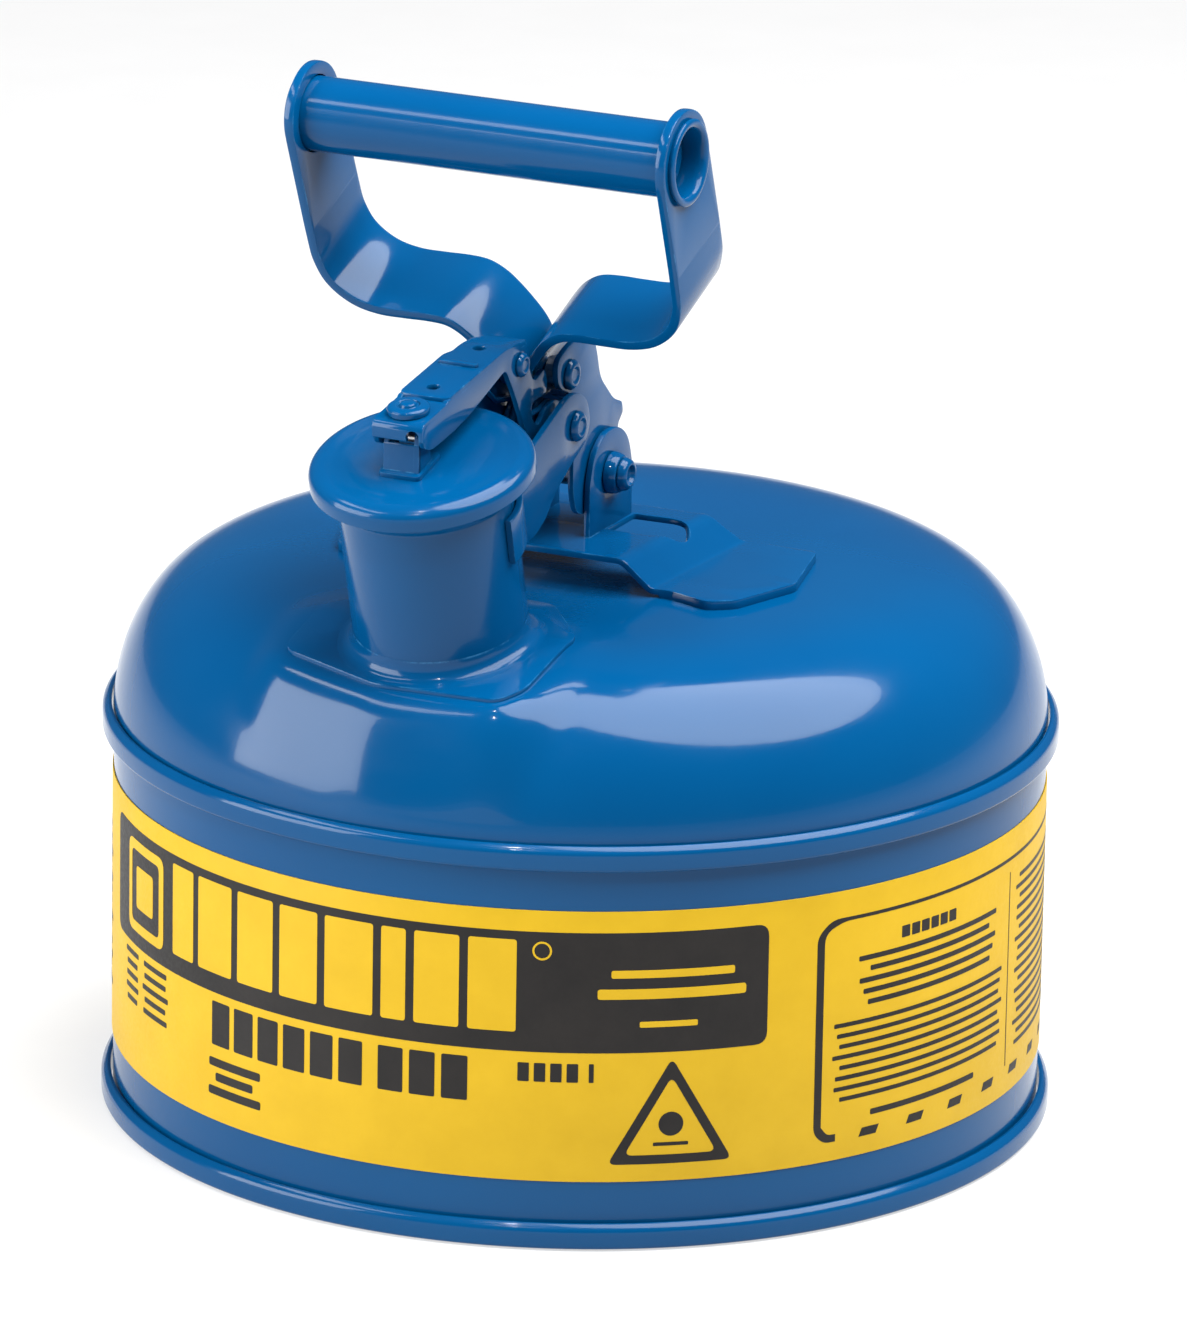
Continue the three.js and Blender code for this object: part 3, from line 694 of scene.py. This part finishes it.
def fillet(reach, rise, rows=10, columns=96):
    """Sweep that carries the neck tube out onto the flange all the way round."""
    bm = bmesh.new()
    grid = []
    for k in range(columns):
        angle = 2 * math.pi * k / columns

        def spot(radius, lift):
            """Point over the flange at a radius from the neck axis, found by halving."""
            high = 30.0
            low = -30.0
            for _ in range(30):
                mid = (high + low) / 2
                here = neck @ Vector((radius * math.cos(angle), radius * math.sin(angle), mid))
                if here.z > flange_height(here.y) + lift:
                    high = mid
                else:
                    low = mid
            return Vector((radius * math.cos(angle), radius * math.sin(angle), high))

        foot = spot(NECK_R + reach, 0.02)
        corner = spot(NECK_R + 0.05, 0.02)
        top = corner + Vector((0, 0, rise))
        buried = spot(NECK_R + reach * 0.6, -0.6)
        inside = corner + Vector((-0.8 * math.cos(angle), -0.8 * math.sin(angle), rise * 0.5))
        line = [top * (1 - t) ** 2 + corner * 2 * t * (1 - t) + foot * t * t
                for t in (j / rows for j in range(rows + 1))]
        line += [buried, inside]
        grid.append([bm.verts.new(neck @ p) for p in line])
    for k in range(columns):
        a = grid[k]
        b = grid[(k + 1) % columns]
        for j in range(len(a)):
            i = (j + 1) % len(a)
            bm.faces.new((a[j], b[j], b[i], a[i]))
    bmesh.ops.recalc_face_normals(bm, faces=bm.faces)
    return bm


painted("flange_skin", [flange_sheet, fillet(reach=4.2, rise=5.0)], "can", "spout_flange")

lid_line = rounded([
    [0, 49.4], [26.2, 49.4, 0.5], [26.7, 48.9, 0.4], [26.7, 45.2, 0.3], [LID_R, 45.3, 0.5],
    [LID_R, 49.4, 2.6], [LID_R - 2.6, 51.2, 2.4], [LID_R - 6.5, 51.1, 1.5], [LID_R - 8.5, 51.3, 1.5],
    [0, 51.3],
], 8, closed=False)
painted("lid_skin", [lathe(lid_line, 128, neck)], "lid", "lid_cap")

# Two lugs joined by a web across their front edges, on a small plate welded to the lid.
lug_plan = rounded([
    [-105, 187.7], [-105, 199.4, 1.4], [-103.6, 200.8, 1], [-101.5, 200.8, 1],
    [-99.8, 198.6, 1.5], [-98, 192], [-98, 189.6],
])
lug = side_plate(lug_plan, [circle(LID_PIN, 1.55, 20)], *LUG)
carrier = sheet(box_outline(-5.6, 5.6, -12.5, 0.5, 1.5), [], 50.9, 52.6, 0.4)
carrier.transform(neck)
web_plan = rounded([[-105.1, 187.7], [-105.1, 197, 0.5], [-103.8, 197, 0.5], [-103.8, 188]])
web = side_plate(web_plan, [], -LUG[1], LUG[1], 0.4)
painted("clevis_skin", [lug, flipped(lug), carrier, web], "lid", "lid_clevis")


def headed(name, half, shank, head, height, centre, body, node, dimple=0.5):
    """Headed pin through plates whose outside faces are half off centre, each head dished."""
    seat = half + 0.2
    top = seat + height
    right = [
        [shank, seat], [head - 0.1, seat], [head, seat + 0.3, 0.5], [head * 0.86, seat + height * 0.8, 0.8],
        [head * 0.58, top, 0.5], [head * 0.42, top - dimple, 0.4], [0, top - dimple],
    ]
    left = [[p[0], -p[1], *p[2:]] for p in reversed(right)]
    run = rounded([*left, *right], 5, closed=False)
    painted(name, [lathe(run, 40, x_axis_at(*centre))], body, node)


pin_line = rounded([[0, -6.8], [1.4, -6.8, 0.4], [1.4, 6.8, 0.4], [0, 6.8]], 5, closed=False)
piece("lid_pin_skin", [lathe(pin_line, 32, x_axis_at(*LID_PIN))], STEEL, "lid", ["lid_pin"])
headed("lever_pin_skin", STRUT[1], 2.5, 3.9, 1.6, LEVER, "can", "lever_pivot_pin")
headed("main_pin_skin", 14.2, 3.0, 4.3, 2.2, PIVOT, "can", "main_pivot_pin", dimple=1.3)

# Half band round the neck with its two lever arms.
strut_plan = rounded([
    [-70, 180.5], [-63, 184.3, 2], [-58.5, 185.4, 2], [-39.6, 192.9, 3], [-33, 194, 5],
    [-26.5, 190.5, 5], [-24.6, 184, 4], [-27, 179.5, 4], [-34.7, 175.9, 3], [-44.4, 170.6, 3],
    [-49.5, 165.4, 2], [-55, 162.8, 2], [-70, 159.5],
])
strut = side_plate(strut_plan, [circle(LEVER, LEVER_HOLE, 28)], *STRUT)
band_line = rounded([[0, 25, 0.3], [1.6, 25, 0.5], [1.6, 37, 0.5], [0, 37, 0.3]], 4)
BAND_R = NECK_R + 0.25
BAND_STEPS = 48
band_rings = []
for k in range(BAND_STEPS + 1):
    angle = math.radians(-4 + 188 * k / BAND_STEPS)
    band_rings.append([neck @ Vector(((BAND_R + p[0]) * math.cos(angle),
                                      (BAND_R + p[0]) * math.sin(angle), p[1])) for p in band_line])
clamp = painted("clamp_skin", [strut, flipped(strut), swept(band_rings)], "can", "neck_clamp")
bored(clamp, NECK_R + 0.2, 0, 60, 96, neck)


# ---------------------------------------------------------------- base bracket

def bent(levels):
    """Smooth height profile through [distance, height, ease] points."""
    line = rounded(levels, 6, closed=False)

    def height(at):
        for a, b in zip(line, line[1:]):
            if at <= b[0]:
                t = (at - a[0]) / max(b[0] - a[0], 1e-6)
                return a[1] + (b[1] - a[1]) * min(max(t, 0), 1)
        return line[-1][1]

    return height


DECK_GAUGE = 1.6
DECK_Z = 150.9
FOOT_Z = 143.4
FOOT_FROM = 35
FOOT_SINK = 0.9
BEND_SKEW = 0.06
deck_height = bent([[0, DECK_Z], [25.6, DECK_Z, 1.4], [32.6, FOOT_Z, 1.6], [64, FOOT_Z]])


def folded(co):
    """Flat plate bent down to a foot each side, along bends that open toward the rear."""
    at = abs(co.x) - BEND_SKEW * (co.y + 20)
    slope = (deck_height(at + 0.05) - deck_height(max(at - 0.05, 0))) / 0.1
    normal = Vector((-slope * (1 if co.x > 0 else -1), 0, 1)).normalized()
    seated = FOOT_SINK if at > FOOT_FROM and co.z < DECK_GAUGE / 2 else 0.0
    return Vector((co.x, co.y, deck_height(at) - seated)) + normal * co.z


bracket_plan = rounded([
    [-24, -32.5, 2], [24, -32.5, 3], [36, -28.5, 3], [49, -33, 2], [55, -28.5, 2], [62, -8, 2],
    [55.5, 19.5, 2], [36, 20, 3], [27, 13, 4], [-27, 13, 4], [-36, 20, 3], [-55.5, 19.5, 2],
    [-62, -8, 2], [-55, -28.5, 2], [-49, -33, 2], [-36, -28.5, 3],
])
slot_plan = [[11.4, -10.5, 1], [25, -10.8, 6], [29.5, -3, 6], [25.5, 5.5, 6], [11.4, 5, 1]]
right_slot = rounded(slot_plan, 8)
left_slot = [Vector((-p[0], p[1])) for p in right_slot]
# Cuts across the bends each side, and along the skew.
deck = sheet(bracket_plan, [right_slot, left_slot], 0, DECK_GAUGE, 0.4)
sliced(deck, 0, [sign * (20 + 0.7 * k) for k in range(36) for sign in (-1, 1)])
sliced(deck, 1, [-30 + 3 * k for k in range(17)])
mapped(deck, folded)
ear_plan = rounded([
    [-20, 151.4], [5, 151.4], [5, 166, 2], [2.5, 173.5, 6], [-3.5, 177.6, 5], [-11.5, 177.6, 5],
    [-17.5, 173.5, 6], [-20, 166, 2],
])
ear = side_plate(ear_plan, [circle(PIVOT, PIVOT_HOLE, 28)], *EAR)
painted("bracket_skin", [deck, ear, flipped(ear)], "can", "base_bracket")

collar_line = rounded([[3.2, 11.0], [5.4, 11.0, 0.4], [5.2, 12.6, 0.7], [4.6, 14.1, 0.5], [3.2, 14.1]], 5)
for side, name in SIDES:
    collar = turned_ring(sided(collar_line, side), 40, x_axis_at(*PIVOT))
    painted("collar_skin_" + name, [collar], "can", "pin_collar_" + name)


# ---------------------------------------------------------------- handle

# Up along the handle's lean, and square to it in the side view.
V_DIR = Vector((0, -math.sin(LEAN), math.cos(LEAN)))
W_DIR = Vector((0, math.cos(LEAN), math.sin(LEAN)))
grip_at = Vector((0, *GRIP))


def smooth_line(points, per=8):
    """Even curve through points, with its running length at each sample."""
    pts = [Vector(p) for p in points]
    dirs = [(pts[min(i + 1, len(pts) - 1)] - pts[max(i - 1, 0)]).normalized() for i in range(len(pts))]
    path = []
    for i in range(len(pts) - 1):
        reach = (pts[i + 1] - pts[i]).length / 3
        a, b, c, d = pts[i], pts[i] + dirs[i] * reach, pts[i + 1] - dirs[i + 1] * reach, pts[i + 1]
        for k in range(per):
            t = k / per
            path.append(a * (1 - t) ** 3 + b * 3 * t * (1 - t) ** 2 + c * 3 * t * t * (1 - t) + d * t ** 3)
    path.append(pts[-1])
    lengths = [0.0]
    for a, b in zip(path, path[1:]):
        lengths.append(lengths[-1] + (b - a).length)
    return path, lengths


# Middle line of the right strap as (x, distance along the lean from the grip), top to foot.
strap_path, strap_run = smooth_line([
    [49.9, 14], [49.7, -10], [49.2, -30], [48.7, -35.5], [46.3, -41.6], [41, -46.3],
    [34.5, -48.3], [27, -48.5], [20.5, -48.4], [15.5, -49], [11.6, -51.3], [8.4, -54.8],
    [5.4, -59], [3.2, -62.8], [2, -66.5], [1.7, -71], [1.7, -75.6],
])
strap_total = strap_run[-1]


def along_strap(co):
    """Flat strap bent along its middle line, its width square to the lean."""
    at = min(max(co.x, 0), strap_total)
    i = max(k for k in range(len(strap_run) - 1) if strap_run[k] <= at + 1e-9)
    t = (at - strap_run[i]) / (strap_run[i + 1] - strap_run[i])
    point = strap_path[i].lerp(strap_path[i + 1], t)

    def heading(k):
        k = min(max(k, 1), len(strap_path) - 2)
        return (strap_path[k + 1] - strap_path[k - 1]).normalized()

    along = heading(i).lerp(heading(i + 1), t).normalized()
    across = Vector((-along[1], along[0]))
    u, v = point + across * co.z
    return grip_at + Vector((u, 0, 0)) + V_DIR * v + W_DIR * co.y


STRAP_HALF = 12.95
STRAP_HALF_GAUGE = 1.25
GRIP_AT = 14
top_arc = [(GRIP_AT - STRAP_HALF * math.sin(a), -STRAP_HALF * math.cos(a))
           for a in (math.pi * k / 28 for k in range(29))]
strap_foot = rounded([
    [40, STRAP_HALF], [strap_total - 2, STRAP_HALF, 3], [strap_total, 10, 2],
    [strap_total, -3, 2], [strap_total - 10, -STRAP_HALF, 3], [40, -STRAP_HALF],
], 5)
strap = sheet([*top_arc, *strap_foot], [circle((GRIP_AT, 0), 9.6, 40)],
              -STRAP_HALF_GAUGE, STRAP_HALF_GAUGE, 0.5)
sliced(strap, 0, [38 + 0.9 * k for k in range(int((strap_total - 39) / 0.9))])
mapped(strap, along_strap)
left_strap = flipped(strap)
painted("strap_skin_right", [strap], "handle", "handle_strap_right")
painted("strap_skin_left", [left_strap], "handle", "handle_strap_left")

# Section of the tube's right half, from its outside to its bore round the flared end.
right_rim = rounded([
    [9.3, 0], [9.3, 49.6, 0.8], [10.6, 51.3, 0.8], [10.9, 52.2, 0.8], [9.8, 52.7, 0.7],
    [8.6, 52.2, 0.8], [8.1, 50.4, 0.8], [8.1, 0],
], 6, closed=False)
# From the bore's middle round the right end, along the outside and round the left end back to it.
tube_line = [*reversed(right_rim), *sided(right_rim, -1)[1:]]
painted("grip_skin", [lathe(tube_line, 64, x_axis_at(*GRIP))], "handle", "grip_tube")
plug_line = rounded([
    [0, 44.6], [7.8, 44.6, 0.3], [7.8, 46.4, 1.0], [6.4, 46.9, 1.0], [3.4, 46.5, 1.0],
    [2.4, 45.4, 0.8], [0, 45.3],
], 5, closed=False)
for side, name in SIDES:
    plug = lathe(sided(plug_line, side), 48, x_axis_at(*GRIP))
    painted("plug_skin_" + name, [plug], "handle", "grip_plug_" + name)

cross_point = grip_at + V_DIR * -70.3 + W_DIR * 0.2
cross_rivet = (cross_point.y, cross_point.z)
yoke_plan = rounded([
    [-36, 201.5, 3], [-35.2, 194.6, 3], [-28, 191.4, 2], [-25.7, 187, 3], [-25.7, 166, 3],
    [-23.5, 158.8, 4], [-8, 156.8, 9], [3, 161, 9], [3.4, 170, 5], [-0.2, 176.2, 2],
    [3.3, 179.2, 1], [2.6, 182, 1], [-2.5, 184, 2], [-10.6, 191.5, 3], [-12.4, 197.8, 2],
    [-15.5, 205, 3], [-28, 204.6, 4],
])
yoke_holes = [circle(PIVOT, PIVOT_HOLE, 28), circle(cross_rivet, 2.7, 24)]
cheek = side_plate(yoke_plan, yoke_holes, *YOKE)
web_plan = rounded([
    [-12, 193.8, 1], [-11.1, 191.4, 2], [-3, 183.9, 2], [2.6, 181.9, 1], [3.2, 179.6, 0.6],
    [1.6, 179.9, 0.6], [1.2, 180.8, 0.6], [-4, 182.6, 2], [-12.3, 190.2, 2], [-13.5, 193.4, 1],
])
web = side_plate(web_plan, [], -8.6, 8.6, 0.2)
painted("yoke_skin", [cheek, flipped(cheek), web], "handle", "handle_yoke")
headed("cross_rivet_skin", YOKE[1], 2.5, 3.9, 1.5, cross_rivet, "handle", "handle_cross_rivet")


# ---------------------------------------------------------------- lid lever

ARM_HALF = ARM_WALL[1]
ARM_GAUGE = 1.5
TONGUE_HALF = 6.8
arm_height = bent([[-93.4, 204.6], [-61.2, 209.2, 3], [-49.6, 209.0]])
arm_plan = rounded([
    [-TONGUE_HALF, -93.3, 2.4], [TONGUE_HALF, -93.3, 2.4], [ARM_HALF, -49.7, 1], [-4.3, -49.7, 1.5],
    [-4.3, -53, 1], [-5.6, -54.6, 1], [-5.6, -66, 1], [-ARM_HALF, -68.4, 1.5],
])
arm_holes = [circle((0, -87.6), 1.6, 20), circle((0, -62.2), 1.6, 20)]
arm_top = sheet(arm_plan, arm_holes, 0, ARM_GAUGE, 0.45)
sliced(arm_top, 1, [-66 + 0.8 * k for k in range(14)])
mapped(arm_top, lambda co: Vector((co.x, co.y, arm_height(co.y) + co.z)))

# Lower tongue at the front, rolled over into a short lip with one round notch.
tongue_plan = rounded([
    [-107.4, 198.3, 0.5], [-107.4, 202.8, 5], [-94.4, 204.9], [-91.5, 205.4],
    [-91.5, 203.9], [-94.4, 203.4], [-105.9, 201.4, 3.7], [-105.9, 198.3, 0.5],
], 10)
tongue_sheet = side_plate(tongue_plan, [], -TONGUE_HALF, TONGUE_HALF)
tongue = painted("arm_tongue", [tongue_sheet], "lid_lever", "lid_lever_arm")
notch = Matrix.Translation((4.1, 0, 199.2)) @ Matrix.Rotation(math.pi / 2, 4, "X")
bored(tongue, 1.9, 105.2, 110, 32, notch)

# Side walls under the arm: one lower edge, a hooked rear on the right, a plain one on the left.
below_arm = [
    [-33, 191.2, 4], [-27.4, 189.4, 4], [-26.9, 184.6, 4], [-28.4, 179.6, 4], [-33.4, 178.7, 4],
    [-41, 179, 4], [-47.5, 183.6, 2], [-55.8, 197.8, 2], [-61.3, 205.4, 2], [-71.6, 202, 4],
    [-79, 199.5, 3], [-89, 197.2], [-97.6, 195.9, 2], [-102, 195.4, 2], [-106, 196.6, 2],
    [-107, 199, 1], [-106, 202.3, 4.4], [-94.4, 204.6],
]
right_plan = rounded([
    [-93.2, 205.6, 0.4], [-61.2, 210.4, 3], [-49.4, 210.2, 2],
    [-47.6, 202.6, 1], [-45, 198.4, 2], [-38.8, 200.6, 1.5], [-37.4, 197, 1], [-37.2, 194, 2],
    [-46.4, 193.2, 3], [-45.6, 188.6, 2], [-42, 186.4, 2], [-38.4, 189.6, 2], *below_arm,
])
left_plan = rounded([
    [-93.2, 205.6, 0.4], [-68.4, 209, 0.6], [-66.8, 208, 0.6], [-50, 208, 1],
    [-47.6, 202, 1], [-45, 199, 2], [-37, 200, 1.5], [-34, 197, 1.5], *below_arm,
])
wall_holes = [circle(LEVER, LEVER_HOLE, 28), circle(CHEEK_RIVET, 2.2, 20)]
right_wall = side_plate(right_plan, wall_holes, *ARM_WALL, 0.45)
left_wall = side_plate(left_plan, wall_holes, *ARM_WALL, 0.45)
ridge = sheet(box_outline(-5.2, 5.2, -0.85, 0.85, 0.8), [], 0, 1.2, 0.5)
ridge.transform(Matrix.Translation((0, -73.6, 208.75)) @ Matrix.Rotation(math.radians(8.1), 4, "X"))
painted("arm_skin", [arm_top, right_wall, flipped(left_wall), ridge], "lid_lever", "lid_lever_arm")

button = Matrix.Translation((0, -101.2, 204.5)) @ Matrix.Rotation(math.radians(9.1), 4, "X")
button_line = rounded([
    [0, -0.6], [5.2, -0.6, 0.3], [5.3, 0.9, 0.8], [4.6, 1.4, 0.8], [2.9, 1.5, 0.4],
    [2.7, 1.1, 0.4], [2.2, 1.1, 0.3], [1.9, 1.9, 0.6], [0, 2.1],
], 6, closed=False)
painted("button_skin", [lathe(button_line, 48, button)], "lid_lever", "arm_washer")
headed("cheek_rivet_skin", ARM_HALF, 2.0, 3.1, 1.4, CHEEK_RIVET, "lid_lever", "cheek_rivet")


# ---------------------------------------------------------------- spring

def coil(turns, radius, half, wire, per_turn=28):
    """Close wound wire round the lever pin with two straight legs."""
    sides = 12
    centres = [Vector((-4.4, -54, 200)), Vector((-4.4, -50, 196.5)), Vector((-4.4, -44, 192))]
    for i in range(turns * per_turn + 1):
        angle = math.pi / 2 - 2 * math.pi * i / per_turn
        x = -half + 2 * half * i / (turns * per_turn)
        centres.append(Vector((x, LEVER[0] - radius * math.cos(angle),
                               LEVER[1] + radius * math.sin(angle))))
    centres += [Vector((4.4, -38, 189.2)), Vector((4.4, -42, 189.1)), Vector((4.4, -45, 189))]
    rings = []
    side = Vector((0, 0, 1))
    for i, centre in enumerate(centres):
        along = (centres[min(i + 1, len(centres) - 1)] - centres[max(i - 1, 0)]).normalized()
        side = (side - along * side.dot(along)).normalized()
        up = along.cross(side)
        rings.append([centre + (side * math.cos(a) + up * math.sin(a)) * wire
                      for a in (2 * math.pi * k / sides for k in range(sides))])
    return swept(rings)


inner_coil = coil(turns=5, radius=5.0, half=4.2, wire=0.8)
piece("spring_skin", [inner_coil], BLUE, "can", ["torsion_spring"])

# The end turns either side are grooved rings, three turns each.
TURN_PITCH = 0.65
turns = [[3.0, 9.1], [5.2, 9.1, 0.2]]
for k in range(3):
    turns += [[6.0, 9.1 + TURN_PITCH * k, 0.3], [6.05, 9.7 + TURN_PITCH * k, 0.3],
              [5.3, 9.75 + TURN_PITCH * k, 0.1]]
turns_line = rounded([*turns, [3.0, 11.1]], 4, closed=False)
for side, name in SIDES:
    end_turns = turned_ring(sided(turns_line, side), 40, x_axis_at(*LEVER))
    piece("end_turns_" + name, [end_turns], WIRE, "can", ["lever_coil_" + name])


# ---------------------------------------------------------------- pieces kept as they are

kept_finish = {
    "arrester_collar": STEEL, "flame_arrester_screen": SCREEN, "yoke_spacer_right": STEEL,
    "yoke_spacer_left": STEEL, "pivot_bushing": STEEL, "gasket_retainer": STEEL, "lid_gasket": RUBBER,
}
for name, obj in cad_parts.items():
    material = kept_finish.get(name, BLUE)
    obj.data.materials.clear()
    obj.data.materials.append(material)


# ---------------------------------------------------------------- floor, light, camera

def floor_material():
    """Pale matt floor with a faint glow of its own, so its shadow stays light."""
    material, nodes, links, shader = new_material("pale_floor")
    speck = noise(nodes, links, 30.0, 3.0)
    links.new(blend_colour(nodes, links, speck, (0.28, 0.28, 0.28), (0.31, 0.31, 0.31)),
              shader.inputs["Base Color"])
    shader.inputs["Roughness"].default_value = 0.75
    shader.inputs["Specular IOR Level"].default_value = 0.2
    shader.inputs["Emission Color"].default_value = (1.0, 1.0, 1.0, 1.0)
    shader.inputs["Emission Strength"].default_value = 0.6
    return material


floor_mesh = bpy.data.meshes.new("floor")
floor_bm = bmesh.new()
bmesh.ops.create_grid(floor_bm, x_segments=8, y_segments=8, size=8.0)
floor_bm.to_mesh(floor_mesh)
floor_bm.free()
floor_mesh.materials.append(floor_material())
floor = bpy.data.objects.new("floor", floor_mesh)
floor.location = (0, 0, -0.0003)
scene.collection.objects.link(floor)

world = bpy.data.worlds.new("studio")
scene.world = world
world.use_nodes = True
world.node_tree.nodes["Background"].inputs["Color"].default_value = (0.93, 0.95, 1.0, 1.0)
world.node_tree.nodes["Background"].inputs["Strength"].default_value = 0.1

focus = Vector((0, -0.02, 0.12))


def softbox(name, azimuth, elevation, distance, width, height, power, shape="RECTANGLE"):
    """Area light aimed at the middle of the can, placed by its direction from there."""
    light = bpy.data.lights.new(name, "AREA")
    light.shape = shape
    light.size = width
    light.size_y = height
    light.energy = power
    obj = bpy.data.objects.new(name, light)
    a = math.radians(azimuth)
    e = math.radians(elevation)
    out = Vector((math.cos(e) * math.cos(a), math.cos(e) * math.sin(a), math.sin(e)))
    obj.location = focus + out * distance
    obj.rotation_mode = "QUATERNION"
    obj.rotation_quaternion = out.to_track_quat("Z", "Y")
    scene.collection.objects.link(obj)


softbox("overhead", 8, 64, 1.4, 1.6, 1.6, 66, "ELLIPSE")
softbox("left_front", -137, 15, 1.7, 1.15, 0.95, 34)
softbox("left_strip", -142, 50, 1.6, 1.0, 0.18, 6)
softbox("spark_a", -91, 67, 1.4, 0.045, 0.045, 1.8)
softbox("spark_b", -82, 48, 1.4, 0.05, 0.05, 2.2)

camera_data = bpy.data.cameras.new("camera")
camera = bpy.data.objects.new("camera", camera_data)
scene.collection.objects.link(camera)
camera_data.lens = 280.7
camera_data.sensor_width = 36
camera_data.clip_end = 50
aim = Vector((-0.0034, 0.0144, 0.1067))
camera.location = (1.0618, -2.2771, 0.8924)
camera.rotation_mode = "QUATERNION"
away = (camera.location - aim).normalized()
roll = Matrix.Rotation(math.radians(0.9925), 3, "Z").to_quaternion()
camera.rotation_quaternion = away.to_track_quat("Z", "Y").to_matrix().to_quaternion() @ roll
scene.camera = camera
scene.view_settings.view_transform = "Standard"
